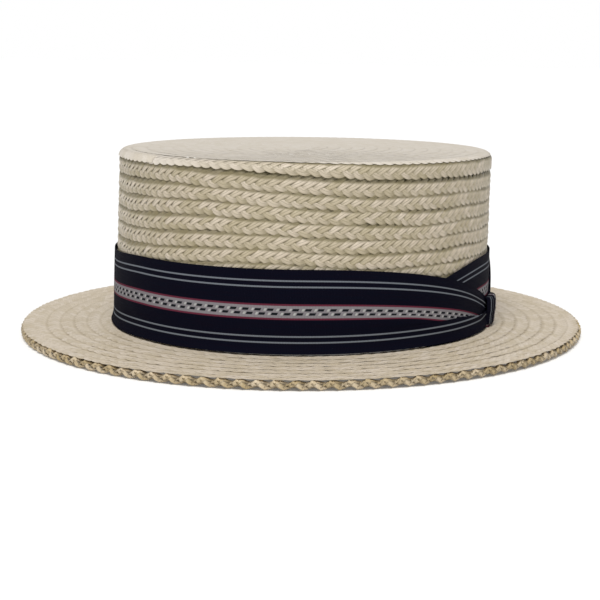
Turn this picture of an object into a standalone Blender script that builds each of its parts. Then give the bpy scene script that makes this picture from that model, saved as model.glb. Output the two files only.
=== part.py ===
# Straw boater hat: sewn straw crown and brim, a doubled braid under the brim's edge, and a
# striped ribbon band that is gathered into a flat bow on the wearer's left.
# Metres, +Z up. The hat stands on its brim at z = 0, centred on the z axis.
# The front of the hat is -Y and the bow is on +X.
import math

import bmesh
import bpy

# Crown
CROWN_HALF_WIDTH = 0.0855
CROWN_HALF_LENGTH = 0.101
CROWN_FLARE = 0.0021
CROWN_SIDE_HEIGHT = 0.0789
CROWN_CORNER_RADIUS = 0.0035
CROWN_WALL = 0.0022
CROWN_SIDE_ROWS = 13
CROWN_TIP_ROWS = 12
TIP_CENTRE_HALF_WIDTH = 0.004

# Brim
BRIM_SIDE_WIDTH = 0.0424
BRIM_FRONT_WIDTH = 0.0484
BRIM_THICKNESS = 0.0022
BRIM_ROWS = 7
EDGE_BRAID_WIDTH = 0.008
EDGE_BRAID_THICKNESS = 0.002
EDGE_BRAID_ROUND = 0.0006

# Straw braid: how far each sewn row stands over the next one
ROW_STEP = 0.0007
UNDERSIDE_STEP = 0.0005

# Ribbon
RIBBON_WIDTH = 0.035
RIBBON_THICKNESS = 0.001
GATHER_LENGTH = 0.130
UNDERLAP_LENGTH = 0.068
UNDERLAP_DROP = 0.0105
RAMP_LENGTH = 0.040
WING_LENGTH = 0.058
WING_THICKNESS = 0.0021
KNOT_WIDTH = 0.020
KNOT_HEIGHT = 0.015
KNOT_WALL = 0.001
KNOT_DEPTH = 0.0058

# Gap kept between pieces that touch
CLEARANCE = 0.0003

# Facets round the hat, and the finer ones in the bow
SEGMENTS = 48
BOW_STEPS_PER_SEGMENT = 2

# The pleat: shares of the gathered length, of the ribbon's width and of its thickness
PLEAT_END = 0.60
PLEAT_FOLD_AT_KNOT = 0.17
PLEAT_FOLD = 0.255
PLEAT_LAYERS = 1.7
KNOT_FLARE_POWER = 2.3

# Heights that follow from the sizes above
BRIM_UNDERSIDE = EDGE_BRAID_THICKNESS + CLEARANCE
BRIM_TOP = BRIM_UNDERSIDE + BRIM_THICKNESS
CROWN_BASE = BRIM_TOP + CLEARANCE
CROWN_TOP = CROWN_BASE + CROWN_SIDE_HEIGHT
BAND_BOTTOM = CROWN_BASE + CLEARANCE
BAND_TOP = BAND_BOTTOM + RIBBON_WIDTH

STRAW = ((0.66, 0.56, 0.40), 0.75)
STRAW_EDGE = ((0.58, 0.47, 0.29), 0.80)
RIBBON = ((0.008, 0.010, 0.016), 0.55)


def remove_all():
    for obj in list(bpy.data.objects):
        bpy.data.objects.remove(obj, do_unlink=True)


def material(name, finish):
    colour, roughness = finish
    made = bpy.data.materials.new(name)
    made.use_nodes = True
    shader = made.node_tree.nodes["Principled BSDF"]
    shader.inputs["Base Color"].default_value = (*colour, 1.0)
    shader.inputs["Roughness"].default_value = roughness
    shader.inputs["Metallic"].default_value = 0.0
    return made


def oval(half_width, half_length, height):
    # One ring of points round the hat, all rings starting at the bow side.
    turns = [2 * math.pi * i / SEGMENTS for i in range(SEGMENTS)]
    return [(half_width * math.cos(t), half_length * math.sin(t), height) for t in turns]


def loft(name, rings, finish, ring_of_rings=False):
    # Joins rings of equal count by quads. The profile is closed on itself, or capped at its ends.
    bm = bmesh.new()
    loops = [[bm.verts.new(point) for point in ring] for ring in rings]
    followers = loops[1:] + loops[:1] if ring_of_rings else loops[1:]
    for here, there in zip(loops, followers):
        for i in range(len(here)):
            j = (i + 1) % len(here)
            bm.faces.new((here[i], here[j], there[j], there[i]))
    if not ring_of_rings:
        bm.faces.new(loops[0])
        bm.faces.new(loops[-1])
    bmesh.ops.recalc_face_normals(bm, faces=bm.faces)
    mesh = bpy.data.meshes.new(name)
    bm.to_mesh(mesh)
    bm.free()
    mesh.shade_smooth()
    mesh.set_sharp_from_angle(angle=math.radians(35))
    mesh.materials.append(finish)
    obj = bpy.data.objects.new(name, mesh)
    bpy.context.scene.collection.objects.link(obj)
    return obj


def flare_at(height):
    # How much wider than its top the crown is at this height, on each side.
    share = (CROWN_TOP - height) / CROWN_SIDE_HEIGHT
    return CROWN_FLARE * min(max(share, 0.0), 1.0)


def crown_oval(offset, height):
    grow = flare_at(height) + offset
    return oval(CROWN_HALF_WIDTH + grow, CROWN_HALF_LENGTH + grow, height)


def crown_side_rings():
    # From the base upwards. Each row's lower lip stands proud and its upper edge is tucked in.
    side_top = CROWN_TOP - CROWN_CORNER_RADIUS
    pitch = (side_top - CROWN_BASE) / CROWN_SIDE_ROWS
    row_shape = ((0.0, 0.0), (0.45, -0.25), (1.0, -1.0))
    rings = []
    for row in range(CROWN_SIDE_ROWS):
        for along, tuck in row_shape:
            rings.append(crown_oval(tuck * ROW_STEP, CROWN_BASE + (row + along) * pitch))
    return rings


def crown_tip_rings():
    # From the corner to the centre, over the flat tip. Each row steps down to the next one out.
    rings = []
    for degrees in (0, 40, 75):
        turn = math.radians(degrees)
        inward = CROWN_CORNER_RADIUS * (1 - math.cos(turn))
        rise = CROWN_CORNER_RADIUS * math.sin(turn)
        rings.append(crown_oval(-inward, CROWN_TOP - CROWN_CORNER_RADIUS + rise))
    reach = CROWN_HALF_WIDTH - CROWN_CORNER_RADIUS - TIP_CENTRE_HALF_WIDTH
    pitch = reach / CROWN_TIP_ROWS
    row_shape = ((0.0, 0.0), (1.0, -1.0))
    for row in range(CROWN_TIP_ROWS):
        for along, tuck in row_shape:
            inward = CROWN_CORNER_RADIUS + (row + along) * pitch
            rings.append(crown_oval(-inward, CROWN_TOP + tuck * ROW_STEP))
    return rings


def crown_inside_rings():
    # From the centre of the lining side of the tip, out and down to the base.
    ceiling = CROWN_TOP - CROWN_WALL
    corner = max(CROWN_CORNER_RADIUS, CROWN_WALL)
    centre = CROWN_HALF_WIDTH - TIP_CENTRE_HALF_WIDTH
    return [
        crown_oval(-centre, ceiling),
        crown_oval(-corner - CROWN_WALL, ceiling),
        crown_oval(-CROWN_WALL * 1.4, ceiling - corner * 0.4),
        crown_oval(-CROWN_WALL, ceiling - corner),
        crown_oval(-CROWN_WALL, CROWN_BASE),
    ]


def make_crown(finish):
    rings = crown_inside_rings() + crown_side_rings() + crown_tip_rings()
    return loft("crown", rings, finish)


def brim_oval(outward, height):
    # outward is 0 at the foot of the crown and 1 at the brim's edge.
    return oval(
        CROWN_HALF_WIDTH + CROWN_FLARE + outward * BRIM_SIDE_WIDTH,
        CROWN_HALF_LENGTH + CROWN_FLARE + outward * BRIM_FRONT_WIDTH,
        height,
    )


def make_brim(finish):
    # Rows lap outwards: each one's outer lip lies on the next row out.
    under_crown = -CROWN_WALL / BRIM_SIDE_WIDTH
    rings = [brim_oval(under_crown, BRIM_UNDERSIDE), brim_oval(under_crown, BRIM_TOP)]
    rings.append(brim_oval(0.0, BRIM_TOP))
    for row in range(BRIM_ROWS):
        inner, outer = row / BRIM_ROWS, (row + 1) / BRIM_ROWS
        if row:
            rings.append(brim_oval(inner, BRIM_TOP - ROW_STEP))
        rings.append(brim_oval((inner + outer) / 2, BRIM_TOP - ROW_STEP * 0.15))
        rings.append(brim_oval(outer, BRIM_TOP))
    flat_from = 1 - EDGE_BRAID_WIDTH / BRIM_SIDE_WIDTH
    rings.append(brim_oval(1.0, BRIM_UNDERSIDE))
    rings.append(brim_oval(flat_from, BRIM_UNDERSIDE))
    for row in range(BRIM_ROWS - 1, 0, -1):
        inner = (row - 0.5) / BRIM_ROWS
        if inner < flat_from - 0.5 / BRIM_ROWS:
            rings.append(brim_oval(inner + 0.4 / BRIM_ROWS, BRIM_UNDERSIDE + UNDERSIDE_STEP))
            rings.append(brim_oval(inner, BRIM_UNDERSIDE))
    return loft("brim", rings, finish, ring_of_rings=True)


def make_edge_braid(finish):
    # The extra row of braid sewn under the brim's edge, with rounded corners, that the hat rests on.
    outer = 1.0
    inner = 1 - EDGE_BRAID_WIDTH / BRIM_SIDE_WIDTH
    soft = EDGE_BRAID_ROUND / BRIM_SIDE_WIDTH
    top = EDGE_BRAID_THICKNESS
    rings = [
        brim_oval(inner + soft, 0.0),
        brim_oval(outer - soft, 0.0),
        brim_oval(outer, EDGE_BRAID_ROUND),
        brim_oval(outer, top - EDGE_BRAID_ROUND),
        brim_oval(outer - soft, top),
        brim_oval(inner + soft, top),
        brim_oval(inner, top - EDGE_BRAID_ROUND),
        brim_oval(inner, EDGE_BRAID_ROUND),
    ]
    return loft("brim_edge_braid", rings, finish, ring_of_rings=True)


def arc_lengths(steps_per_degree=4):
    # Distance along the crown's foot from the bow, for each small turn up to a full one.
    half_width = CROWN_HALF_WIDTH + CROWN_FLARE
    half_length = CROWN_HALF_LENGTH + CROWN_FLARE
    lengths = [0.0]
    step = math.radians(1 / steps_per_degree)
    for i in range(360 * steps_per_degree):
        middle = (i + 0.5) * step
        speed = math.hypot(half_width * math.sin(middle), half_length * math.cos(middle))
        lengths.append(lengths[-1] + speed * step)
    return lengths


ARC = arc_lengths()
TURNS_PER_ARC_STEP = 360 / (len(ARC) - 1)


def arc_at(degrees):
    # Distance from the bow to this turn, the shorter way for turns below 0.
    place = abs(degrees) / TURNS_PER_ARC_STEP
    low = min(int(place), len(ARC) - 2)
    return ARC[low] + (place - low) * (ARC[low + 1] - ARC[low])


def turn_at(length):
    # The turn, in degrees, that lies this far from the bow along the crown.
    for i in range(1, len(ARC)):
        if ARC[i] >= length:
            part = (length - ARC[i - 1]) / (ARC[i] - ARC[i - 1])
            return (i - 1 + part) * TURNS_PER_ARC_STEP
    return 360.0


def on_crown(degrees, offset, height):
    # A point this far outside the crown's surface.
    turn = math.radians(degrees)
    grow = flare_at(height) + offset
    across = (CROWN_HALF_WIDTH + grow) * math.cos(turn)
    along = (CROWN_HALF_LENGTH + grow) * math.sin(turn)
    return (across, along, height)


def turns_between(start, end):
    # Turns for a piece of ribbon: the crown's own facets, finer ones within the bow, and both
    # edges of the knot.
    facet = 360 / SEGMENTS
    fine = facet / BOW_STEPS_PER_SEGMENT
    bow_reach = turn_at(UNDERLAP_LENGTH) + facet
    knot_edge = turn_at(KNOT_WIDTH / 2 + CLEARANCE)
    found = [start]
    tick = math.floor(start / fine) + 1
    while tick * fine < end - fine * 0.25:
        degrees = tick * fine
        from_bow = abs((degrees + 180) % 360 - 180)
        on_facet = tick % BOW_STEPS_PER_SEGMENT == 0
        if degrees > start + fine * 0.25 and (on_facet or from_bow < bow_reach):
            found.append(degrees)
        tick += 1
    edges = [edge for edge in (knot_edge, 360 - knot_edge) if start < edge < end]
    return sorted(found + edges) + [end]


def smooth(share):
    share = min(max(share, 0.0), 1.0)
    return share * share * (3 - 2 * share)


def gathered_width(share):
    # The ribbon's height where it is drawn in: share is 0 at the knot and 1 at its full width.
    at_knot = (KNOT_HEIGHT - 2 * (KNOT_WALL + CLEARANCE)) / RIBBON_WIDTH
    open_share = 1 - (1 - min(share, 1.0)) ** KNOT_FLARE_POWER
    return RIBBON_WIDTH * (at_knot + (1 - at_knot) * open_share)


def ribbon_section(degrees, offset, bottom, top, fold, thickness, pleat):
    # Eight corners. Below the fold, the pleat makes the ribbon thicker.
    lower = offset + thickness + pleat
    upper = offset + thickness
    step = CLEARANCE
    middle = (bottom + fold) / 2
    corners = [
        (offset, bottom),
        (lower, bottom),
        (lower, fold),
        (upper, fold + step),
        (upper, top),
        (offset, top),
        (offset, fold + step),
        (offset, middle),
    ]
    return [on_crown(degrees, out, height) for out, height in corners]


def gathered_section(degrees, from_bow, gather_length, offset, thickness):
    # One section of a gathered end: height, fold line and pleat follow the distance from the knot.
    from_knot = max(from_bow - KNOT_WIDTH / 2 - CLEARANCE, 0.0)
    share = from_knot / (gather_length - KNOT_WIDTH / 2)
    closing = smooth(1 - share / PLEAT_END)
    tucked = KNOT_WALL + CLEARANCE
    bottom = BAND_BOTTOM + tucked * (1 - smooth(from_knot / KNOT_WIDTH))
    top = bottom + gathered_width(share)
    fold_share = PLEAT_FOLD + (PLEAT_FOLD_AT_KNOT - PLEAT_FOLD) * closing
    fold = bottom + fold_share * RIBBON_WIDTH
    pleat = RIBBON_THICKNESS * (PLEAT_LAYERS - 1) * closing
    return ribbon_section(degrees, offset, bottom, min(top, BAND_TOP), fold, thickness, pleat)


def band_offset(degrees):
    # The ribbon's outer end climbs over its inner end before it reaches the bow.
    ramp_end = 360 - turn_at(UNDERLAP_LENGTH) - 360 / SEGMENTS
    ramp_start = ramp_end - turn_at(RAMP_LENGTH)
    share = smooth((degrees - ramp_start) / (ramp_end - ramp_start))
    return CLEARANCE + share * (RIBBON_THICKNESS + CLEARANCE)


def make_hatband(finish):
    # One ribbon: from its hidden inner end under the bow, round the back, and over itself to the knot.
    inner_end = -turn_at(UNDERLAP_LENGTH)
    outer_end = 360 - turn_at(CLEARANCE)
    rings = []
    for degrees in turns_between(inner_end, outer_end):
        offset = band_offset(degrees)
        from_bow = arc_at(360 - degrees)
        if degrees > 180 and from_bow < GATHER_LENGTH:
            rings.append(gathered_section(degrees, from_bow, GATHER_LENGTH, offset, RIBBON_THICKNESS))
            continue
        under = arc_at(degrees) / UNDERLAP_LENGTH if degrees < 0 else 0.0
        top = BAND_TOP - UNDERLAP_DROP * under**2
        fold = BAND_BOTTOM + PLEAT_FOLD * RIBBON_WIDTH
        rings.append(ribbon_section(degrees, offset, BAND_BOTTOM, top, fold, RIBBON_THICKNESS, 0.0))
    return loft("hatband", rings, finish)


def make_bow_wing(finish):
    # The bow's free wing: ribbon folded double, opening out behind the knot to a rounded fold.
    offset = RIBBON_THICKNESS + 2 * CLEARANCE
    start, end = turn_at(CLEARANCE), turn_at(WING_LENGTH)
    rings = []
    for degrees in turns_between(start, end):
        from_bow = arc_at(degrees)
        left = max(WING_LENGTH - from_bow, 0.0)
        rounding = min(1.0, 0.35 + 0.65 * math.sqrt(left / WING_THICKNESS))
        thickness = WING_THICKNESS * rounding
        rings.append(gathered_section(degrees, from_bow, WING_LENGTH, offset, thickness))
    return loft("bow_wing", rings, finish)


def make_bow_knot(finish):
    # The ribbon wrap over the gathered ends: a C-shaped strap, open towards the crown.
    half_turn = turn_at(KNOT_WIDTH / 2)
    back = RIBBON_THICKNESS + 2 * CLEARANCE
    front = KNOT_DEPTH
    low, high = BAND_BOTTOM, BAND_BOTTOM + KNOT_HEIGHT
    soft = KNOT_WALL * 0.6
    wall = KNOT_WALL
    corners = [
        (back, low),
        (front - soft, low),
        (front, low + soft),
        (front, high - soft),
        (front - soft, high),
        (back, high),
        (back, high - wall),
        (front - wall, high - wall),
        (front - wall, low + wall),
        (back, low + wall),
    ]
    rings = []
    steps = 6
    for i in range(steps + 1):
        degrees = half_turn * (2 * i / steps - 1)
        rings.append([on_crown(degrees, out, height) for out, height in corners])
    return loft("bow_knot", rings, finish)


def main():
    remove_all()
    straw = material("natural_straw", STRAW)
    straw_edge = material("straw_edge", STRAW_EDGE)
    ribbon = material("black_ribbon", RIBBON)
    make_crown(straw)
    make_brim(straw)
    make_edge_braid(straw_edge)
    make_hatband(ribbon)
    make_bow_wing(ribbon)
    make_bow_knot(ribbon)


main()
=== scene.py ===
import math
import bpy
import numpy as np
from mathutils import Matrix, Vector


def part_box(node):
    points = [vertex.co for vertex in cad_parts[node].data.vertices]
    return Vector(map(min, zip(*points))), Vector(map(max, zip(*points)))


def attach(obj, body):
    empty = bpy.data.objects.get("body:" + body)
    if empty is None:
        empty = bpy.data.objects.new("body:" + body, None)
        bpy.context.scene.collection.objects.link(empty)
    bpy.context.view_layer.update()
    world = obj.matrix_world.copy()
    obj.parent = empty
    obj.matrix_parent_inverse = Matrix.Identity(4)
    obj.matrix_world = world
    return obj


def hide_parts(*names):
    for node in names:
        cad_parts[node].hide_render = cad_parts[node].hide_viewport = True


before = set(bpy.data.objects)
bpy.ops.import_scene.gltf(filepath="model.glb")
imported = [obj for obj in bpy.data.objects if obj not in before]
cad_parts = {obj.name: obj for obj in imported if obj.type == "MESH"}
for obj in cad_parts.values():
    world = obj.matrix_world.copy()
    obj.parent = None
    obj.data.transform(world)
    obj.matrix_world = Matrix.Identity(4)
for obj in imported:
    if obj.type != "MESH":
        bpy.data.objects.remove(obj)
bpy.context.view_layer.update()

# The hat stands on its brim at z = 0, its front is -Y and the bow is on +X.
# Turns round the hat are degrees from the bow, going by the back.
crownLow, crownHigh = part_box("crown")
bandLow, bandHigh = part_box("hatband")
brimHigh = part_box("brim")[1]

hatShape = {
    "flare": 0.0008,         # how much wider the crown is at its foot, on each side
    "footInset": 0.00085,    # the straw's foot within the solid crown's
    "lean": 0.0014,          # how far the crown's foot sits towards -X
    "leanStart": 0.004,      # height above which it leans
    "leanBlend": 0.001,
    "cornerRadius": 0.0038,
    "edgeBend": 0.0007,      # bend of the edge braid's middle round the brim's edge
    "brimMargin": 0.0055,    # from the last brim row's middle to the brim's edge
}
flare = hatShape["flare"]
topHalfWidth = crownHigh.x - hatShape["footInset"] - flare
topHalfLength = crownHigh.y - hatShape["footInset"] - flare
sideHeight = crownHigh.z - crownLow.z


def deselectAll():
    bpy.ops.object.select_all(action="DESELECT")


def makeActive(piece):
    deselectAll()
    piece.select_set(True)
    bpy.context.view_layer.objects.active = piece


def applyModifiers(piece):
    makeActive(piece)
    for modifier in list(piece.modifiers):
        bpy.ops.object.modifier_apply(modifier=modifier.name)


def readPoints(piece):
    flat = np.empty(len(piece.data.vertices) * 3)
    piece.data.vertices.foreach_get("co", flat)
    return flat.reshape(-1, 3).T


def writePoints(piece, x, y, z):
    piece.data.vertices.foreach_set("co", np.stack([x, y, z], axis=1).ravel())
    piece.data.update()


def smoothStep(share):
    share = np.clip(share, 0.0, 1.0)
    return share * share * (3 - 2 * share)


def placeOnHat(turns, outX, outY, heights):
    # From turns in degrees and distances outside the crown's top oval to x, y and z.
    angles = np.radians(turns)
    lean = hatShape["lean"] * smoothStep((heights - hatShape["leanStart"]) / hatShape["leanBlend"])
    lean = lean * (crownHigh.z - heights) / sideHeight
    x = (topHalfWidth + outX) * np.cos(angles) - lean
    y = (topHalfLength + outY) * np.sin(angles)
    return x, y, heights


# One repeat of the braid, made flat along X. Its lip is at -Y and its outer face is +Z.
crownBraid = {
    "straws": 5,             # an odd number
    "repeat": 0.0046,        # length after which the pattern shows again
    "width": 0.0082,
    "strawWidth": 0.0026,
    "strawThickness": 0.0009,
    "sharpness": 0.95,       # 1 where the straws turn back in a point
    "lift": 0.0005,          # how far a straw rises and dips as it weaves
    "ridge": -0.45,          # where the two slants meet, from -1 at the lip to 1
    "lap": 0.12,             # slope of each row, whose lip lies on the next row
    "steps": 4,
    "wander": 0.0022,        # how unevenly the braid is drawn
}
tipBraid = dict(
    crownBraid, strawWidth=0.0031, strawThickness=0.0001, lift=0.000014, lap=0.018, wander=0.0003)
brimBraid = dict(
    crownBraid, repeat=0.0052, strawWidth=0.003, strawThickness=0.00024, lift=0.0001, lap=0.042,
    wander=0.0011)
edgeBraid = {
    "straws": 3,
    "repeat": 0.0072,
    "width": 0.0088,
    "strawWidth": 0.0034,
    "strawThickness": 0.0013,
    "sharpness": 0.9,
    "lift": 0.0005,
    "ridge": 0.0,
    "lap": 0.0,
    "steps": 6,
    "wander": 0.0,
}
weaveSnap = 2.5              # how quickly a straw changes from over to under
mapShare = 0.84              # how much of its lane in the map a straw's width fills


def strawReach(braid):
    return (braid["width"] - braid["strawWidth"]) / 2


def strawDepth(braid):
    # From the outermost straws down to the middle of the braid
    return braid["lift"] + braid["strawThickness"] / 2 + braid["lap"] * braid["width"] / 2


def strawSpot(braid, straw, x):
    # Each straw swings from side to side, and is on top while it slants away from the ridge.
    phase = 2 * math.pi * (x / (braid["repeat"] * braid["straws"]) + straw / braid["straws"])
    swing = math.asin(braid["sharpness"] * math.sin(phase)) / math.asin(braid["sharpness"])
    height = braid["lift"] * math.tanh(weaveSnap * (swing - braid["ridge"]) * math.cos(phase))
    return Vector((x, strawReach(braid) * swing, height))


def strawSpan(braid, straw, x):
    # The straw's width measured straight across the braid, wider where it runs slanted
    near = braid["repeat"] / 8
    slope = (strawSpot(braid, straw, x + near).y - strawSpot(braid, straw, x - near).y) / (2 * near)
    return braid["strawWidth"] * math.sqrt(1 + slope * slope)


def makeStraw(braid, straw):
    # A flat four-sided section, extruded step by step along its way through the braid.
    places = [braid["repeat"] * i / braid["steps"] for i in range(braid["steps"] + 1)]
    spots = [strawSpot(braid, straw, x) for x in places]
    spans = [strawSpan(braid, straw, x) for x in places]
    deselectAll()
    bpy.ops.mesh.primitive_circle_add(
        vertices=4, radius=0.5, location=spots[0], rotation=(0, math.pi / 2, 0))
    made = bpy.context.object
    bpy.ops.object.transform_apply(location=False, rotation=True)
    bpy.ops.object.mode_set(mode="EDIT")
    bpy.ops.mesh.select_all(action="SELECT")
    bpy.ops.transform.resize(value=(1, spans[0], braid["strawThickness"]))
    for i in range(braid["steps"]):
        bpy.ops.mesh.extrude_region_move(TRANSFORM_OT_translate={"value": spots[i + 1] - spots[i]})
        bpy.ops.transform.resize(value=(1, spans[i + 1] / spans[i], 1), center_override=spots[i + 1])
    bpy.ops.object.mode_set(mode="OBJECT")
    bpy.ops.object.transform_apply()
    layStrawMap(made, braid, straw)
    return made


def layStrawMap(made, braid, straw):
    # Along the straw in U, and in V the straw's number with its width as the fraction.
    layer = made.data.uv_layers.active
    swingLength = braid["repeat"] * braid["straws"]
    for loop in made.data.loops:
        spot = made.data.vertices[loop.vertex_index].co
        middle = strawSpot(braid, straw, spot.x)
        across = 0.5 + mapShare * (spot.y - middle.y) / strawSpan(braid, straw, spot.x)
        layer.data[loop.index].uv = (spot.x / swingLength, (straw + across) / braid["straws"])


def makeBraidRepeat(name, braid):
    straws = [makeStraw(braid, straw) for straw in range(braid["straws"])]
    deselectAll()
    for straw in straws:
        straw.select_set(True)
    bpy.context.view_layer.objects.active = straws[0]
    bpy.ops.object.join()
    made = bpy.context.object
    made.name = name
    bpy.ops.object.mode_set(mode="EDIT")
    bpy.ops.mesh.select_all(action="SELECT")
    bpy.ops.mesh.normals_make_consistent(inside=False)
    bpy.ops.object.mode_set(mode="OBJECT")
    return made


def noiseTexture(name, size):
    texture = bpy.data.textures.new(name, "CLOUDS")
    texture.noise_scale = size
    return texture


sewing = {
    "turnStep": 0.5,         # degrees between the places a row is measured at
    "slowWander": 0.022,     # sizes of the slow and the quick unevenness
    "quickWander": 0.005,
    "alongShare": 2.0,       # of the braid's wander: slow along it, quick across it and up
    "acrossShare": 0.4,
    "riseShare": 0.3,
    "copyGap": 0.00005,      # points closer than this are merged, between copies
    "closingGap": 0.00002,   # and where a closed row meets its start
    "firstTurn": 370,        # degrees from the start for which the upper half stays up
    "settle": 60,            # degrees in which it then lies down, and a tail sinks
    "swellStart": 0.3,       # share of its thickness that a swelling row starts with
    "waves": ((43, 0), (71, 1), (104, 2)),   # how many there are round the hat, and their shift
    "softAngle": 60,
}
slowWander = noiseTexture("slow wander", sewing["slowWander"])
quickWander = noiseTexture("quick wander", sewing["quickWander"])


def addWander(piece, texture, direction, strength):
    modifier = piece.modifiers.new("wander " + direction, "DISPLACE")
    modifier.texture = texture
    modifier.texture_coords = "LOCAL"
    modifier.direction = direction
    modifier.strength = strength
    modifier.mid_level = 0.5


def sewRow(name, repeat, braid, rows, profile):
    # Copies the repeat along the whole row and lays it on the hat, turn after turn.
    first, last = rows["turns"]
    turns = np.arange(first, last + sewing["turnStep"], sewing["turnStep"])
    middle = profile(rowPlace(rows, turns), strawDepth(braid) * swellAt(rows, turns))
    x, y, z = placeOnHat(turns, *middle[:3])
    steps = np.sqrt(np.diff(x) ** 2 + np.diff(y) ** 2 + np.diff(z) ** 2)
    lengths = np.concatenate([[0.0], np.cumsum(steps)])
    copies = round(lengths[-1] / braid["repeat"])
    flatLength = copies * braid["repeat"]
    piece = repeat.copy()
    piece.data = repeat.data.copy()
    piece.name = piece.data.name = name
    bpy.context.scene.collection.objects.link(piece)
    array = piece.modifiers.new("copies", "ARRAY")
    array.count = copies
    array.use_relative_offset = False
    array.use_constant_offset = True
    array.constant_offset_displace = (braid["repeat"], 0, 0)
    array.use_merge_vertices = True
    array.merge_threshold = sewing["copyGap"]
    array.offset_u = 1 / braid["straws"]
    array.offset_v = -1 / braid["straws"]
    if braid["wander"]:
        addWander(piece, slowWander, "X", braid["wander"] * sewing["alongShare"])
        addWander(piece, slowWander, "Y", braid["wander"])
        addWander(piece, quickWander, "Y", braid["wander"] * sewing["acrossShare"])
        addWander(piece, quickWander, "Z", braid["wander"] * sewing["riseShare"])
    applyModifiers(piece)
    along, across, rise = readPoints(piece)
    along = np.clip(along, 0, flatLength) * lengths[-1] / flatLength
    turn = np.interp(along, lengths, turns)
    swell = swellAt(rows, turn)
    place = rowPlace(rows, turn) - across
    outX, outY, height, normalOut, normalUp = profile(place, strawDepth(braid) * swell)
    slope = braid["lap"] * across
    if "swell" in rows:
        # The first turn's upper half stays up, close under the row before it.
        settled = smoothStep((turn - first - sewing["firstTurn"]) / sewing["settle"])
        slope = np.where(across > 0, slope * settled, slope)
    rise = (rise - slope) * swell
    if "tail" in rows:
        rise = rise - rows["tail"] * smoothStep((turn - last) / sewing["settle"] + 1)
    if "uneven" in rows:
        # Only inwards, so that no straw dips under the floor
        angles = np.radians(turn)
        waves = sum(np.sin(count * angles + shift) for count, shift in sewing["waves"])
        rise = rise + rows["uneven"] * (waves / len(sewing["waves"]) - 1)
    outX, outY = outX + normalOut * rise, outY + normalOut * rise
    writePoints(piece, *placeOnHat(turn, outX, outY, height + normalUp * rise))
    makeActive(piece)
    bpy.ops.object.mode_set(mode="EDIT")
    bpy.ops.mesh.select_all(action="SELECT")
    if rows.get("closed"):
        bpy.ops.mesh.remove_doubles(threshold=sewing["closingGap"])
    else:
        bpy.ops.mesh.fill_holes(sides=4)
    bpy.ops.mesh.normals_make_consistent(inside=False)
    bpy.ops.object.mode_set(mode="OBJECT")
    bpy.ops.object.shade_smooth_by_angle(angle=math.radians(sewing["softAngle"]))
    print(name, copies, "repeats,", len(piece.data.polygons) * 2, "triangles")
    return piece


def swellAt(rows, turns):
    # A row may start out flat and reach its full thickness some way on.
    if "swell" not in rows:
        return np.ones_like(turns)
    wait, length = rows["swell"]
    grown = smoothStep((turns - rows["turns"][0] - wait) / length)
    return sewing["swellStart"] + (1 - sewing["swellStart"]) * grown


def rowPlace(rows, turns):
    # How far out from the hat's centre, along its surface, the middle of the row runs.
    # The braid keeps level and steps down to the next row within one stretch of each turn.
    whole = np.floor(turns / 360)
    part = turns - whole * 360
    stepped = whole + smoothStep((part - rows["step"][0]) / (rows["step"][1] - rows["step"][0]))
    place = rows["start"] + rows["pitch"] * (rows["even"] * turns / 360 + (1 - rows["even"]) * stepped)
    if "fan" in rows:
        # The rows lie lower and further apart at the left than at the right.
        spread = smoothStep(part / rows["fanIn"]) * smoothStep((rows["fanEnd"] - part) / rows["fanOut"])
        place = place + rows["fan"] * spread * np.maximum(place - rows["fanFrom"], rows["fanLeast"])
        lowered = (whole == rows["capTurn"]) + 0.5 * (whole == rows["capTurn"] - 1)
        place = place + rows["capDrop"] * spread * lowered
    return np.clip(place, rows["limits"][0], rows["limits"][1])


def crownProfile(place, depth):
    # The middle of the straw: flat over the tip, round the corner and down the side.
    corner = hatShape["cornerRadius"]
    bend = corner - depth
    flatReach = topHalfWidth - corner
    place = np.maximum(place, 0.0)
    angle = np.clip((place - flatReach) / bend, 0, math.pi / 2)
    beyond = np.maximum(place - flatReach - bend * math.pi / 2, 0.0)
    out = np.minimum(place, flatReach) - topHalfWidth + bend * np.sin(angle) + beyond * flare / sideHeight
    height = crownHigh.z - corner + bend * np.cos(angle) - beyond
    return out, out, height, np.sin(angle), np.cos(angle)


def brimProfile(place, depth):
    # Level, and wider at the front and back than at the sides.
    out = crownHigh.x - topHalfWidth + place
    outY = crownHigh.y - topHalfLength + place * (brimHigh.y - crownHigh.y) / brimReach
    return out, outY, np.full_like(place, brimHigh.z - depth), np.zeros_like(place), np.ones_like(place)


def edgeProfile(place, depth):
    # From the brim's top round its upright outer edge and back under it.
    bend = hatShape["edgeBend"]
    flat = brimHigh.z / 2 - depth - bend
    side = np.sign(place)
    angle = side * np.clip((np.abs(place) - flat) / bend, 0, math.pi / 2)
    back = np.maximum(np.abs(place) - flat - bend * math.pi / 2, 0.0)
    out = -depth - bend + bend * np.cos(angle) - back
    height = brimHigh.z / 2 - side * np.minimum(np.abs(place), flat) - bend * np.sin(angle)
    outX = out + brimHigh.x - topHalfWidth
    outY = out + brimHigh.y - topHalfLength
    return outX, outY, height, np.cos(angle), -np.sin(angle)


brimReach = brimHigh.x - crownHigh.x

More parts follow.
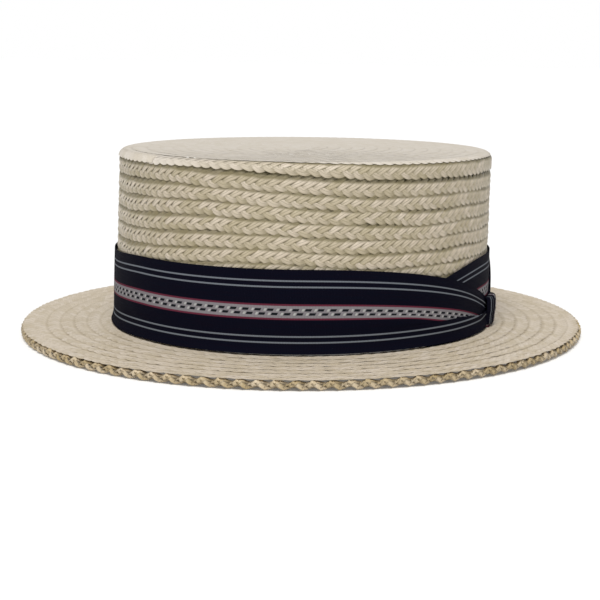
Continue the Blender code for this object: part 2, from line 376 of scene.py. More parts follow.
# Rows start at a place, and go on by a pitch a turn, within the turns (in degrees) and limits given.
# Of each turn's pitch the share called even comes gradually and the rest within the step.
crownRows = {
    "start": 0.0106, "pitch": 0.0059, "even": 0.15, "step": (240, 315),
    "fan": 0.186, "fanFrom": 0.0834, "fanLeast": -0.005, "fanIn": 120, "fanOut": 60, "fanEnd": 280,
    "capDrop": 0.0019, "capTurn": 12,        # how much lower the cap's last turn lies there
    "limits": (0.0, 1.0),
}
tipRows = dict(crownRows, turns=(-1120, 12 * 360 + 235))
upperRows = dict(crownRows, turns=(12 * 360 + 232, 19 * 360 + 90), swell=(0, 420))
lowerRows = dict(crownRows, turns=(19 * 360 + 90, 25 * 360), limits=(0.0, 0.1577))
brimRows = {
    "start": 0.0022, "pitch": 0.006, "even": 0.0, "step": (60, 120),
    "limits": (0.0002, brimReach - hatShape["brimMargin"]),
    "turns": (-600, 6 * 360 + 120), "tail": 0.001,
}
edgeRows = {
    "start": 0.0, "pitch": 0.0, "even": 0.0, "step": (60, 120),
    "limits": (0.0, 0.0), "turns": (0, 360), "closed": True, "uneven": 0.0002,
}

crownRepeat = makeBraidRepeat("crown_repeat", crownBraid)
tipRepeat = makeBraidRepeat("tip_repeat", tipBraid)
brimRepeat = makeBraidRepeat("brim_repeat", brimBraid)
edgeRepeat = makeBraidRepeat("edge_repeat", edgeBraid)
strawPieces = {
    "crown_tip_straw": sewRow("crown_tip_straw", tipRepeat, tipBraid, tipRows, crownProfile),
    "crown_side_straw": sewRow("crown_side_straw", crownRepeat, crownBraid, upperRows, crownProfile),
    "crown_foot_straw": sewRow("crown_foot_straw", crownRepeat, crownBraid, lowerRows, crownProfile),
    "brim_straw": sewRow("brim_straw", brimRepeat, brimBraid, brimRows, brimProfile),
    "brim_edge_straw": sewRow("brim_edge_straw", edgeRepeat, edgeBraid, edgeRows, edgeProfile),
}
for repeat in (crownRepeat, tipRepeat, brimRepeat, edgeRepeat):
    bpy.data.objects.remove(repeat)
print("straw sewn")

# The ribbon: distances along it are from the bow's middle, round by the back.
ribbon = {
    "width": bandHigh.z - bandLow.z,
    "thickness": 0.0003,
    "underLength": 0.068,    # the inner end, hidden under the gathered front
    "underDrop": 0.0068,
    "gatherLength": 0.130,
    "gatherDrop": 0.0224,
    "gatherPower": 2.2,
    "gatherFlat": 0.006,     # next to the bow's middle, where it is drawn in fully
    "lowShare": 0.704,       # share of the slack that is laid in the pleat
    "foldHeight": (0.0063, 0.0095),  # at the knot, and where the pleat opens out
    "foldOpens": (0.008, 0.040),     # from where, and over how long
    "pleatEnds": (0.055, 0.030),
    "pleatDepth": 0.0008,
    "pleatSoft": 0.0004,     # rounding of the pleat's two folds
    "pleatFull": 0.003,      # slack at which the pleat stands out fully
    "puff": 0.0007,          # how far the ribbon swells where it is only eased in
    "puffSlack": 0.004,
    "puffHeight": 0.0125,
    "puffSpread": 0.004,
    "pulls": 0.00022,        # fine creases that run out from the knot
    "pullReach": 0.030,
    "pullsAcross": 1250,
    "pullsAlong": 160,
    "pullWaver": 0.8,
    "innerOffset": 0.0003,
    "outerOffset": 0.0008,
    "climb": (0.072, 0.040), # where the outer end lies fully on the inner one, and the rise before it
    "underFlat": 0.010,
    "underRun": 0.050,
    "underShare": 0.7,
    "wave": 0.00015,         # slight waves in the ribbon
    "waveAlong": 70,
    "waveAcross": 90,
    "waveSlant": 25,
    "tuck": 0.0012,          # how far its foot is lifted under the knot
    "tuckRun": 0.012,
    "footSpread": 0.0011,    # how far the ribbon's foot is pushed out by the brim's rise
    "footHeight": 0.006,
    "droop": 0.0017,         # how much lower it lies from the left round to the back
    "droopFrom": 0.205,
    "droopRun": 0.045,
    "droopFoot": 0.3,        # share of the droop at its foot
    "knotHalf": 0.0095,
    "softAngle": 50,
}
bowWing = {
    "reach": 0.0575,
    "roll": 0.00028,         # bend of the ribbon at the wing's end
    "least": 0.001,          # how near the bow's middle its ends come
    "turnOver": 0.030,
    "pleatEnds": (0.026, 0.022),
    "flatter": 0.8,
}
bowKnot = {
    "span": (0.0054, 0.0186),
    "depth": (0.0006, 0.0046),
    "sideFall": 0.0026,      # how far its sides fall back
    "sideNarrow": 0.08,
    "pulls": 0.00015,
    "pullsAcross": 34,
    "pullWaver": 0.6,
    "footFall": 0.0012,      # how far its foot falls back
}
ovalTurns = np.arange(0, 360.25, 0.25)
ovalX, ovalY, _ = placeOnHat(ovalTurns, flare, flare, 0)
ovalLengths = np.concatenate([[0.0], np.cumsum(np.hypot(np.diff(ovalX), np.diff(ovalY)))])
ovalLength = ovalLengths[-1]


def turnAt(distance):
    ahead = np.interp(distance, ovalLengths, ovalTurns)
    behind = np.interp(-distance, ovalLengths, ovalTurns)
    return np.where(distance < 0, -behind, ahead)


def flareAt(height):
    return flare * np.clip((crownHigh.z - height) / sideHeight, 0, 1)


def layRibbon(name, length, steps, place):
    # A flat grid, whose points then take their places on the hat.
    deselectAll()
    bpy.ops.mesh.primitive_grid_add(x_subdivisions=steps[0], y_subdivisions=steps[1], size=1)
    piece = bpy.context.object
    piece.name = piece.data.name = name
    x, y, _ = readPoints(piece)
    distance, offset, height = place((x + 0.5) * length, (y + 0.5) * ribbon["width"])
    nearFoot = np.clip(1 - (height - bandLow.z) / ribbon["footHeight"], 0, 1)
    spread = ribbon["footSpread"] * nearFoot ** 2
    out = flareAt(height) + offset + spread
    writePoints(piece, *placeOnHat(turnAt(distance), out, out, height))
    makeActive(piece)
    solid = piece.modifiers.new("thickness", "SOLIDIFY")
    solid.thickness = ribbon["thickness"]
    solid.offset = 0
    applyModifiers(piece)
    bpy.ops.object.shade_smooth_by_angle(angle=math.radians(ribbon["softAngle"]))
    print(name, len(piece.data.polygons), "faces")
    return piece


def gatherDrop(fromBow, gatherLength):
    flat = ribbon["gatherFlat"]
    closed = 1 - np.maximum(fromBow - flat, 0) / (gatherLength - flat)
    return ribbon["gatherDrop"] * np.clip(closed, 0, 1) ** ribbon["gatherPower"]


def tuckedFoot(fromBow, across):
    # How far the ribbon's foot is lifted close to the knot.
    tucked = 1 - smoothStep((fromBow - ribbon["knotHalf"]) / ribbon["tuckRun"])
    return ribbon["tuck"] * tucked * (1 - across / ribbon["width"])


def gather(fromBow, across, gatherLength, pleated):
    # Height above the ribbon's foot and distance out, where the ribbon is drawn in to the knot.
    # pleated is 1 where the slack is laid in one sharp pleat, and 0 where it is only eased in.
    width = ribbon["width"]
    drop = gatherDrop(fromBow, gatherLength)
    low, high = ribbon["foldHeight"]
    opensFrom, opensOver = ribbon["foldOpens"]
    fold = low + (high - low) * smoothStep((fromBow - opensFrom) / opensOver)
    lowShare = ribbon["lowShare"]
    tuck = lowShare * drop / 2
    under = fold + tuck

    def aboveFold(place):
        highShare = (1 - lowShare) * np.clip((place - under) / (width - under), 0, 1)
        return place - drop * (lowShare + highShare)

    middle = width / 2
    upper = aboveFold(across)
    folded = np.where(across < fold, across, np.where(across < under, 2 * fold - across, upper))
    drawnIn = fold + (aboveFold(middle) - fold) * (across - fold) / (middle - fold)
    eased = np.where(across < fold, across, np.where(across < middle, drawnIn, upper))
    height = pleated * folded + (1 - pleated) * eased
    soft = ribbon["pleatSoft"]
    stand = 1 - smoothStep((across - fold + soft) / (tuck + 2 * soft))
    out = ribbon["pleatDepth"] * pleated * stand * np.clip(tuck / ribbon["pleatFull"], 0, 1)
    swelling = np.exp(-((across - ribbon["puffHeight"]) / ribbon["puffSpread"]) ** 2)
    puff = ribbon["puff"] * (1 - pleated) * np.clip(drop / ribbon["puffSlack"], 0, 1) * swelling
    waver = ribbon["pullWaver"] * np.sin(fromBow * ribbon["pullsAlong"])
    creases = np.sin(across * ribbon["pullsAcross"] + waver)
    pulls = ribbon["pulls"] * np.exp(-fromBow / ribbon["pullReach"]) * creases
    return height, out + puff + pulls


def placeHatband(along, across):
    distance = along - ribbon["underLength"]
    fromBow = ovalLength - distance
    ends = distance > ovalLength / 2
    share = across / ribbon["width"]
    pleatFrom, pleatOver = ribbon["pleatEnds"]
    pleated = 1 - smoothStep((fromBow - pleatFrom) / pleatOver)
    drawnHeight, drawnOut = gather(np.maximum(fromBow, 0), across, ribbon["gatherLength"], pleated)
    climbFrom, climbOver = ribbon["climb"]
    climb = smoothStep((climbFrom - fromBow) / climbOver + 1)
    offset = ribbon["innerOffset"] + (ribbon["outerOffset"] - ribbon["innerOffset"]) * climb * ends
    hidden = np.maximum(-distance - ribbon["underFlat"], 0) / ribbon["underRun"]
    plain = across - ribbon["underDrop"] * hidden ** 2 * share ** ribbon["underShare"]
    height = bandLow.z + np.where(ends & (fromBow < ribbon["gatherLength"]), drawnHeight, plain)
    slanted = np.sin(across * ribbon["waveAcross"] + distance * ribbon["waveSlant"])
    wave = ribbon["wave"] * np.sin(distance * ribbon["waveAlong"]) * slanted
    height = height + tuckedFoot(fromBow, across) * ends
    droop = ribbon["droop"] * smoothStep((fromBow - ribbon["droopFrom"]) / ribbon["droopRun"])
    height = height - droop * (ribbon["droopFoot"] + (1 - ribbon["droopFoot"]) * share)
    return distance, offset + wave + np.where(ends, drawnOut, 0), height


def placeWing(along, across):
    # Out from the knot on the inner layer, round the fold and back on the outer layer.
    reach, roll = bowWing["reach"], bowWing["roll"]
    past = along - reach
    angle = np.clip(past / roll, -math.pi / 2, math.pi / 2)
    distance = reach - roll + roll * np.cos(angle) - np.maximum(np.abs(past) - roll * math.pi / 2, 0)
    distance = np.maximum(distance, bowWing["least"])
    outer = smoothStep(past / bowWing["turnOver"] + 0.5)
    pleatFrom, pleatOver = bowWing["pleatEnds"]
    pleated = outer * (1 - smoothStep((distance - pleatFrom) / pleatOver))
    height, out = gather(distance, across, reach, pleated)
    offset = ribbon["outerOffset"] + roll + roll * np.sin(angle) + out * bowWing["flatter"]
    return distance, offset, bandLow.z + height + tuckedFoot(distance, across)


def placeKnot(along, across):
    # A closed loop of the ribbon round the gathered ends, its sides folded under.
    wrap = 2 * math.pi * along / knotLength
    side = across / ribbon["width"] - 0.5
    low, high = bowKnot["span"]
    back, front = bowKnot["depth"]
    front = front - bowKnot["sideFall"] * np.abs(2 * side) ** 3
    narrowed = 1 - bowKnot["sideNarrow"] * (2 * side) ** 4
    halfHeight = (high - low) / 2 * narrowed - ribbon["thickness"] / 2
    cosine, sine = np.cos(wrap), np.sin(wrap)
    squared = (cosine ** 4 + sine ** 4) ** -0.25
    waver = bowKnot["pullWaver"] * np.sin(wrap * 2)
    pulls = bowKnot["pulls"] * np.sin(side * bowKnot["pullsAcross"] + waver)
    offset = (back + front) / 2 - cosine * squared * ((front - back) / 2 + pulls)
    footFall = bowKnot["footFall"] * np.clip(-sine, 0, 1)
    offset = offset - footFall * (offset - back) / (front - back)
    height = (low + high) / 2 + sine * squared * halfHeight
    return side * 2 * ribbon["knotHalf"], offset, height


endGap = 0.0006              # how far short of the bow's middle the band's outer end stops
bandLength = ribbon["underLength"] + ovalLength
wingLength = 2 * bowWing["reach"]
knotLength = 2 * (bowKnot["span"][1] - bowKnot["span"][0] + bowKnot["depth"][1])
hatband = layRibbon("hatband_ribbon", bandLength - endGap, (420, 60), placeHatband)
wing = layRibbon("bow_wing_ribbon", wingLength - 2 * bowWing["least"], (120, 48), placeWing)
knot = layRibbon("bow_knot_ribbon", knotLength, (56, 20), placeKnot)
ribbonPieces = {"hatband": hatband, "bow_wing": wing, "bow_knot": knot}
print("ribbon laid")


# Node helpers
def addNode(tree, kind, **settings):
    node = tree.nodes.new(kind)
    for name, value in settings.items():
        setattr(node, name, value)
    return node


def feed(tree, socket, value):
    if isinstance(value, bpy.types.NodeSocket):
        tree.links.new(value, socket)
    else:
        socket.default_value = value


def sums(tree, operation, first, second=0.0, third=0.0):
    node = addNode(tree, "ShaderNodeMath", operation=operation)
    for socket, value in zip(node.inputs, (first, second, third)):
        feed(tree, socket, value)
    return node.outputs[0]


def within(tree, value, centre, half, soft):
    # 1 where the value is less than half away from the centre, with soft edges.
    away = sums(tree, "ABSOLUTE", sums(tree, "SUBTRACT", value, centre))
    node = addNode(tree, "ShaderNodeMapRange", interpolation_type="SMOOTHSTEP")
    feed(tree, node.inputs["Value"], away)
    node.inputs["From Min"].default_value = half + soft
    node.inputs["From Max"].default_value = half - soft
    return node.outputs["Result"]


def blend(tree, share, first, second, mode="MIX"):
    node = addNode(tree, "ShaderNodeMix", data_type="RGBA", blend_type=mode)
    feed(tree, node.inputs["Factor"], share)
    feed(tree, node.inputs["A"], first)
    feed(tree, node.inputs["B"], second)
    return node.outputs["Result"]


def combine(tree, x, y, z=0.0):
    node = addNode(tree, "ShaderNodeCombineXYZ")
    for socket, value in zip(node.inputs, (x, y, z)):
        feed(tree, socket, value)
    return node.outputs[0]


def noise(tree, vector, scale, detail=2.0):
    node = addNode(tree, "ShaderNodeTexNoise")
    feed(tree, node.inputs["Vector"], vector)
    node.inputs["Scale"].default_value = scale
    node.inputs["Detail"].default_value = detail
    return node.outputs["Fac"]


def newGroup(name, inputs, outputs):
    group = bpy.data.node_groups.new(name, "ShaderNodeTree")
    for label, kind in inputs:
        group.interface.new_socket(label, in_out="INPUT", socket_type=kind)
    for label, kind in outputs:
        group.interface.new_socket(label, in_out="OUTPUT", socket_type=kind)
    return group, addNode(group, "NodeGroupInput").outputs, addNode(group, "NodeGroupOutput").inputs


strawPattern = {
    "hiddenFirst": 0.6,      # shares of a swing left where a straw is hidden, and its tone changes
    "hiddenAgain": 0.15,
    "leafTone": 0.8,         # how much each kind of change counts in the tone
    "slowTone": 0.4,
    "fibreTone": 0.5,
    "toneShift": 0.4,
    "slowScale": 1.3,
    "fibresAlong": 5.0,
    "fibresAcross": 9.0,
    # Painted shade: the shade colour darkens each straw along its crease, at its sides and where it dips
    # under another
    "creaseHalf": 0.03,      # the crease along the middle of a straw
    "creaseSoft": 0.05,
    "creaseGap": 0.6,
    "creaseDepth": -0.6,
    "edgeShadeReach": 2.3,        # how far in from its sides a straw darkens
    "edgeShadePower": 4.0,
    "underShadePower": 1.5,
    "laneShare": 0.8,        # of a straw's own width and of its swing, in its place in the braid
    "swingShare": 0.68,
    # The painted shadow under the lip above: where it lies and how soft it is
    "lipShadowHalf": 0.72,        # the shade under the lip above
    "lipShadowSoft": 0.17,
    "roughness": 0.36,
    "fibreRoughness": 0.25,
}


def makeStrawGroup():
    look = strawPattern
    group, given, result = newGroup(
        "braidedStraw",
        [("Map", "NodeSocketVector"), ("Straws", "NodeSocketFloat"), ("Ridge", "NodeSocketFloat"),
         ("Sharpness", "NodeSocketFloat"), ("Pale", "NodeSocketColor"), ("Golden", "NodeSocketColor"),
         ("Gap", "NodeSocketColor"), ("Gap Share", "NodeSocketFloat"), ("Lip Shadow Share", "NodeSocketFloat"),
         ("Start", "NodeSocketColor"), ("Fade In", "NodeSocketFloat")],
        [("Colour", "NodeSocketColor"), ("Roughness", "NodeSocketFloat"), ("Height", "NodeSocketFloat")])
    parts = addNode(group, "ShaderNodeSeparateXYZ")
    feed(group, parts.inputs[0], given["Map"])
    lane = sums(group, "MULTIPLY", parts.outputs["Y"], given["Straws"])
    straw = sums(group, "FLOORED_MODULO", sums(group, "FLOOR", lane), given["Straws"])
    across = sums(group, "FRACT", lane)
    phase = sums(group, "ADD", parts.outputs["X"], sums(group, "DIVIDE", straw, given["Straws"]))
    angle = sums(group, "MULTIPLY", phase, 2 * math.pi)
    sharp = sums(group, "MULTIPLY", sums(group, "SINE", angle), given["Sharpness"])
    swing = sums(group, "DIVIDE", sums(group, "ARCSINE", sharp), sums(group, "ARCSINE", given["Sharpness"]))
    fromRidge = sums(group, "MULTIPLY", sums(group, "SUBTRACT", swing, given["Ridge"]), weaveSnap)
    rise = sums(group, "TANH", sums(group, "MULTIPLY", fromRidge, sums(group, "COSINE", angle)))
    # Each stretch of straw that shows has its own tone, which changes where the straw is hidden.
    # The numbers 0.37, 3.1 and 1.7 only keep the straws' tones from repeating.
    firstHidden = sums(group, "FLOOR", sums(group, "ADD", phase, look["hiddenFirst"]))
    againHidden = sums(group, "FLOOR", sums(group, "ADD", phase, look["hiddenAgain"]))
    leafTone = addNode(group, "ShaderNodeTexWhiteNoise", noise_dimensions="2D")
    leaf = sums(group, "MULTIPLY_ADD", firstHidden, 0.37, againHidden)
    feed(group, leafTone.inputs["Vector"], combine(group, leaf, straw))
    slowPlace = combine(group, parts.outputs["X"], sums(group, "MULTIPLY", straw, 3.1))
    slowTone = noise(group, slowPlace, look["slowScale"])
    shifted = sums(group, "ADD", across, sums(group, "MULTIPLY", straw, 1.7))
    fibreRow = sums(group, "MULTIPLY", shifted, look["fibresAcross"])
    fibreRun = sums(group, "MULTIPLY", parts.outputs["X"], look["fibresAlong"])
    fibre = noise(group, combine(group, fibreRun, fibreRow), 1.0, 3.0)
    fromMiddle = sums(group, "SUBTRACT", across, 0.5)
    fromCrease = sums(group, "ABSOLUTE", fromMiddle)
    crease = within(group, across, 0.5, look["creaseHalf"], look["creaseSoft"])
    # Painted shade at the straw's sides and where it dips under another straw
    side = sums(group, "POWER", sums(group, "MULTIPLY", fromCrease, look["edgeShadeReach"]), look["edgeShadePower"])
    low = sums(group, "POWER", sums(group, "MULTIPLY_ADD", rise, -0.5, 0.5), look["underShadePower"])
    # From -1 at the lip to 1, with a painted shadow where the row comes out from under the lip above it
    swung = sums(group, "MULTIPLY", swing, look["swingShare"])
    braidPlace = sums(group, "MULTIPLY_ADD", fromMiddle, look["laneShare"], swung)
    tuck = within(group, braidPlace, 1.0, look["lipShadowHalf"], look["lipShadowSoft"])
    slowPart = sums(group, "MULTIPLY", slowTone, look["slowTone"])
    tone = sums(group, "MULTIPLY_ADD", leafTone.outputs["Value"], look["leafTone"], slowPart)
    tone = sums(group, "SUBTRACT", tone, look["toneShift"])
    tone = sums(group, "MULTIPLY_ADD", fibre, look["fibreTone"], tone)
    tone = sums(group, "MAXIMUM", sums(group, "MINIMUM", tone, 1.0), 0.0)
    straws = blend(group, tone, given["Pale"], given["Golden"])
    # A row may start out plain, in the colour of the straw it comes from.
    begun = sums(group, "MINIMUM", sums(group, "DIVIDE", parts.outputs["X"], given["Fade In"]), 1.0)
    straws = blend(group, begun, given["Start"], straws)
    # Painted shade: darker along the crease, at the straw's sides and where the straw dips under another
    creaseGap = sums(group, "MULTIPLY", crease, look["creaseGap"])
    paintedShade = sums(group, "MAXIMUM", sums(group, "MAXIMUM", side, low), creaseGap)
    paintedShade = sums(group, "MULTIPLY", sums(group, "MINIMUM", paintedShade, 1.0), given["Gap Share"])
    # Painted shadow under the lip above
    paintedShade = sums(group, "MAXIMUM", paintedShade, sums(group, "MULTIPLY", tuck, given["Lip Shadow Share"]))
    paintedShade = sums(group, "MULTIPLY", paintedShade, begun)
    feed(group, result["Colour"], blend(group, paintedShade, straws, given["Gap"]))
    roughness = sums(group, "MULTIPLY_ADD", fibre, look["fibreRoughness"], look["roughness"])
    feed(group, result["Roughness"], roughness)
    feed(group, result["Height"], sums(group, "MULTIPLY_ADD", crease, look["creaseDepth"], fibre))
    return group


def makeMaterial(name, group, inputs, bumpDistance, bumpStrength, settings):
    # The group gives colour, roughness and height; the shader itself stays here.
    material = bpy.data.materials.new(name)
    material.use_nodes = True
    tree = material.node_tree
    shader = tree.nodes["Principled BSDF"]
    for label, value in settings.items():
        shader.inputs[label].default_value = value
    coordinates = addNode(tree, "ShaderNodeTexCoord")
    pattern = addNode(tree, "ShaderNodeGroup", node_tree=group)
    feed(tree, pattern.inputs["Map"], coordinates.outputs["UV"])
    for label, value in inputs.items():
        pattern.inputs[label].default_value = value
    bump = addNode(tree, "ShaderNodeBump")
    bump.inputs["Distance"].default_value = bumpDistance
    bump.inputs["Strength"].default_value = bumpStrength
    feed(tree, bump.inputs["Height"], pattern.outputs["Height"])
    feed(tree, shader.inputs["Base Color"], pattern.outputs["Colour"])
    feed(tree, shader.inputs["Roughness"], pattern.outputs["Roughness"])
    feed(tree, shader.inputs["Normal"], bump.outputs["Normal"])
    return material


# The parts are lit and shaded copies of one straw: the tip and brim are painted paler and greyer as painted
# light and sheen, the crown's side and foot darker as painted shade.
strawColours = {
    "Straws": float(crownBraid["straws"]),
    "Ridge": crownBraid["ridge"],
    "Sharpness": crownBraid["sharpness"],
    "Pale": (0.695, 0.60, 0.48, 1),
    "Golden": (0.475, 0.405, 0.265, 1),
    # painted shade in the gaps between and under the straws, and how strongly it is laid on
    "Gap": (0.13, 0.105, 0.03, 1),
    "Gap Share": 0.9,
    "Lip Shadow Share": 0.75,
    "Start": (0.75, 0.685, 0.60, 1),
    "Fade In": 0.001,        # in stretches of one full swing of a straw
}
sideColours = dict(strawColours, **{"Fade In": 3.0})
tipColours = dict(strawColours, **{
    "Pale": (0.75, 0.685, 0.60, 1), "Golden": (0.66, 0.59, 0.48, 1), "Gap": (0.42, 0.35, 0.23, 1),
    "Gap Share": 0.2, "Lip Shadow Share": 0.0})
brimColours = dict(strawColours, **{
    "Pale": (0.75, 0.655, 0.54, 1), "Golden": (0.60, 0.505, 0.36, 1), "Gap": (0.30, 0.22, 0.09, 1),
    "Gap Share": 0.5, "Lip Shadow Share": 0.35})
edgeColours = dict(strawColours, **{
    "Straws": float(edgeBraid["straws"]),
    "Ridge": edgeBraid["ridge"],
    "Sharpness": edgeBraid["sharpness"],
    "Pale": (0.68, 0.56, 0.39, 1),
    "Golden": (0.42, 0.31, 0.14, 1),
    "Gap": (0.05, 0.03, 0.005, 1),
    "Gap Share": 0.96,
    "Lip Shadow Share": 0.0,
})
strawGroup = makeStrawGroup()
strawShine = {"Specular IOR Level": 0.5, "Sheen Weight": 0.15, "Sheen Roughness": 0.4}
strawRelief = 0.0002
strawBump = {"side": 0.8, "tip": 0.1, "brim": 0.35, "edge": 0.6}
sideStraw = makeMaterial("side straw", strawGroup, sideColours, strawRelief, strawBump["side"], strawShine)
footStraw = makeMaterial("foot straw", strawGroup, strawColours, strawRelief, strawBump["side"], strawShine)
tipStraw = makeMaterial("tip straw", strawGroup, tipColours, strawRelief, strawBump["tip"], strawShine)
brimStraw = makeMaterial("brim straw", strawGroup, brimColours, strawRelief, strawBump["brim"], strawShine)
edgeStraw = makeMaterial("edge straw", strawGroup, edgeColours, strawRelief, strawBump["edge"], strawShine)


# In millimetres from the ribbon's middle and along it, with dashes and spots as shares of a repeat
ribbonPattern = {
    "lines": (10.3, 12.8),
    "lineHalf": 0.33,
    "border": 2.85,
    "borderHalf": 0.42,
    "stripeHalf": 2.5,
    "soft": 0.12,
    "dashRows": ((0.85, 0.0), (-0.85, 0.5)),     # where each row runs, and its shift
    "rowHalf": 0.52,
    "repeat": 5.2,
    "slant": -0.5,
    "dashHalf": 0.25,
    "spotAt": 0.06,
    "spotHalf": 0.13,
    "markSoft": 0.03,
    "ribEvery": 0.62,
    "weaveEvery": 0.45,
    "weaveShare": 0.25,
    "ribShade": 0.10,
    "threadStretch": 0.05,
    "threadScale": 1.6,
    "warmShare": 0.9,
    "roughness": 0.5,
    "threadRoughness": 0.2,
}


def makeRibbonGroup():
    look = ribbonPattern
    group, given, result = newGroup(
        "stripedRibbon",
        [("Map", "NodeSocketVector"), ("Length", "NodeSocketFloat"), ("Width", "NodeSocketFloat"),
         ("Ground", "NodeSocketColor"), ("Warm Ground", "NodeSocketColor"), ("Line", "NodeSocketColor"),
         ("Stripe", "NodeSocketColor"), ("Border", "NodeSocketColor"), ("Dash", "NodeSocketColor"),
         ("Spot", "NodeSocketColor")],
        [("Colour", "NodeSocketColor"), ("Roughness", "NodeSocketFloat"), ("Height", "NodeSocketFloat")])
    parts = addNode(group, "ShaderNodeSeparateXYZ")
    feed(group, parts.inputs[0], given["Map"])
    # Millimetres along the ribbon, and from its middle
    along = sums(group, "MULTIPLY", parts.outputs["X"], given["Length"])
    middle = sums(group, "MULTIPLY", sums(group, "SUBTRACT", parts.outputs["Y"], 0.5), given["Width"])
    fromMiddle = sums(group, "ABSOLUTE", middle)
    soft = look["soft"]
    threadRun = sums(group, "MULTIPLY", along, look["threadStretch"])
    thread = noise(group, combine(group, threadRun, middle), look["threadScale"])
    warmth = sums(group, "MULTIPLY", thread, look["warmShare"])
    colour = blend(group, warmth, given["Ground"], given["Warm Ground"])
    inner, outer = (within(group, fromMiddle, lineAt, look["lineHalf"], soft) for lineAt in look["lines"])
    lines = sums(group, "MAXIMUM", inner, outer)
    colour = blend(group, lines, colour, given["Line"])
    border = within(group, fromMiddle, look["border"], look["borderHalf"], soft)
    colour = blend(group, border, colour, given["Border"])
    stripe = within(group, fromMiddle, 0.0, look["stripeHalf"], soft)
    colour = blend(group, stripe, colour, given["Stripe"])
    for rowAt, shift in look["dashRows"]:
        row = within(group, middle, rowAt, look["rowHalf"], soft)
        slanted = sums(group, "MULTIPLY_ADD", middle, look["slant"], along)
        repeat = sums(group, "FRACT", sums(group, "MULTIPLY_ADD", slanted, 1 / look["repeat"], shift))
        dash = within(group, repeat, 0.5, look["dashHalf"], look["markSoft"])
        spot = within(group, repeat, look["spotAt"], look["spotHalf"], look["markSoft"])
        colour = blend(group, sums(group, "MULTIPLY", row, dash), colour, given["Dash"])
        colour = blend(group, sums(group, "MULTIPLY", row, spot), colour, given["Spot"])
    ribs = sums(group, "SINE", sums(group, "MULTIPLY", along, 2 * math.pi / look["ribEvery"]))
    weave = sums(group, "SINE", sums(group, "MULTIPLY", middle, 2 * math.pi / look["weaveEvery"]))
    height = sums(group, "MULTIPLY_ADD", weave, look["weaveShare"], sums(group, "ADD", ribs, lines))
    shade = sums(group, "MULTIPLY_ADD", ribs, look["ribShade"], look["ribShade"])
    feed(group, result["Colour"], blend(group, shade, colour, (0, 0, 0, 1)))
    roughness = sums(group, "MULTIPLY_ADD", thread, look["threadRoughness"], look["roughness"])
    feed(group, result["Roughness"], roughness)
    feed(group, result["Height"], height)
    return group


ribbonColours = {
    "Width": 35.0,
    "Ground": (0.0026, 0.0054, 0.0135, 1),
    "Warm Ground": (0.0075, 0.0042, 0.0100, 1),
    "Line": (0.185, 0.205, 0.235, 1),
    "Stripe": (0.26, 0.245, 0.265, 1),
    "Border": (0.14, 0.028, 0.05, 1),
    "Dash": (0.012, 0.014, 0.018, 1),
    "Spot": (0.48, 0.49, 0.48, 1),
}
ribbonGroup = makeRibbonGroup()
ribbonShine = {"Specular IOR Level": 0.01}
ribbonRelief = 0.00008
ribbonBump = 0.6
ribbonLengths = {"hatband": 1000 * bandLength, "bow_wing": 1000 * wingLength, "bow_knot": 1000 * knotLength}
for node, piece in ribbonPieces.items():
    colours = dict(ribbonColours, Length=ribbonLengths[node])
    material = makeMaterial(node + " ribbon", ribbonGroup, colours, ribbonRelief, ribbonBump, ribbonShine)
    piece.data.materials.append(material)
    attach(piece, "root")
    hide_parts(node)

strawFinish = {
    "crown_tip_straw": (tipStraw, "crown", "straw"),
    "crown_side_straw": (sideStraw, "crown", "straw"),
    "crown_foot_straw": (footStraw, "crown", "straw"),
    "brim_straw": (brimStraw, "brim", "straw"),
    "brim_edge_straw": (edgeStraw, "brim_edge_braid", "straw_edge"),
}
for name, (material, node, slot) in strawFinish.items():
    piece = strawPieces[name]
    piece.data.materials.append(material)
    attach(piece, "root")
    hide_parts(node)

print("materials on")

studio = {
    "lens": 92.1,
    "camera": (0.1510, -0.7039, 0.1263),
    "target": (-0.0023, -0.0005, 0.0115),
    "roll": 0.89,
    "skyLight": 0.42,
    "keyLight": 2.4,
    "keyTurn": (30, 0, 4),
    "keySoftness": 30,
    "floor": (0.9, 0.9, 0.9, 1),
    "floorLight": 0.1,       # a faint glow of its own
    "floorSize": 40,
}


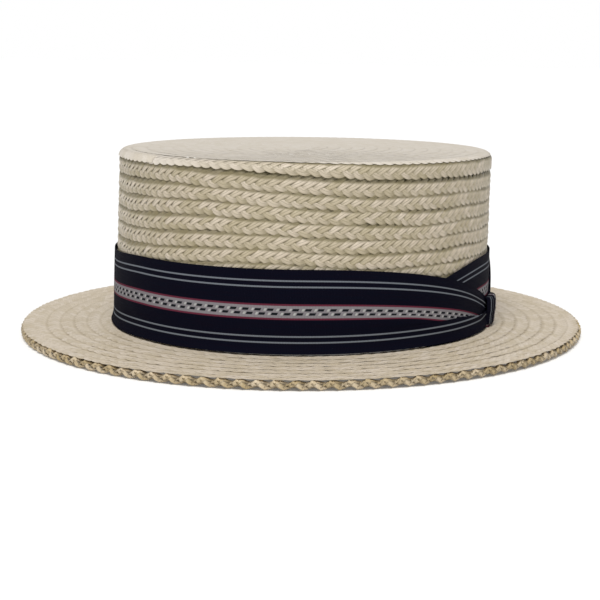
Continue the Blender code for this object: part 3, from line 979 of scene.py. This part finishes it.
def makeFloor():
    deselectAll()
    bpy.ops.mesh.primitive_plane_add(size=studio["floorSize"])
    floor = bpy.context.object
    floor.name = "floor"
    material = bpy.data.materials.new("pale floor")
    material.use_nodes = True
    shader = material.node_tree.nodes["Principled BSDF"]
    shader.inputs["Base Color"].default_value = studio["floor"]
    shader.inputs["Emission Color"].default_value = (1, 1, 1, 1)
    shader.inputs["Emission Strength"].default_value = studio["floorLight"]
    shader.inputs["Roughness"].default_value = 0.9
    shader.inputs["Specular IOR Level"].default_value = 0.1
    floor.data.materials.append(material)


def makeSky():
    # White to the camera, and a softer light on the hat.
    world = bpy.data.worlds.new("studio")
    world.use_nodes = True
    tree = world.node_tree
    sky = tree.nodes["Background"]
    sky.inputs["Strength"].default_value = studio["skyLight"]
    seen = addNode(tree, "ShaderNodeBackground")
    path = addNode(tree, "ShaderNodeLightPath")
    mix = addNode(tree, "ShaderNodeMixShader")
    sky.inputs["Color"].default_value = seen.inputs["Color"].default_value = (1, 1, 1, 1)
    feed(tree, mix.inputs[0], path.outputs["Is Camera Ray"])
    feed(tree, mix.inputs[1], sky.outputs[0])
    feed(tree, mix.inputs[2], seen.outputs[0])
    feed(tree, tree.nodes["World Output"].inputs["Surface"], mix.outputs[0])
    bpy.context.scene.world = world


def makeLights():
    deselectAll()
    bpy.ops.object.light_add(type="SUN", rotation=[math.radians(x) for x in studio["keyTurn"]])
    key = bpy.context.object
    key.name = "key_light"
    key.data.energy = studio["keyLight"]
    key.data.angle = math.radians(studio["keySoftness"])


def makeCamera():
    bpy.ops.object.camera_add(location=studio["camera"])
    camera = bpy.context.object
    camera.name = "photo_camera"
    aim = Vector(studio["target"]) - Vector(studio["camera"])
    turn = aim.to_track_quat("-Z", "Y").to_matrix() @ Matrix.Rotation(math.radians(studio["roll"]), 3, "Z")
    camera.rotation_euler = turn.to_euler()
    camera.data.lens = studio["lens"]
    camera.data.sensor_width = 36
    camera.data.clip_start = 0.01
    bpy.context.scene.camera = camera


makeFloor()
makeSky()
makeLights()
makeCamera()
bpy.context.scene.view_settings.view_transform = "Standard"
print("studio lit")
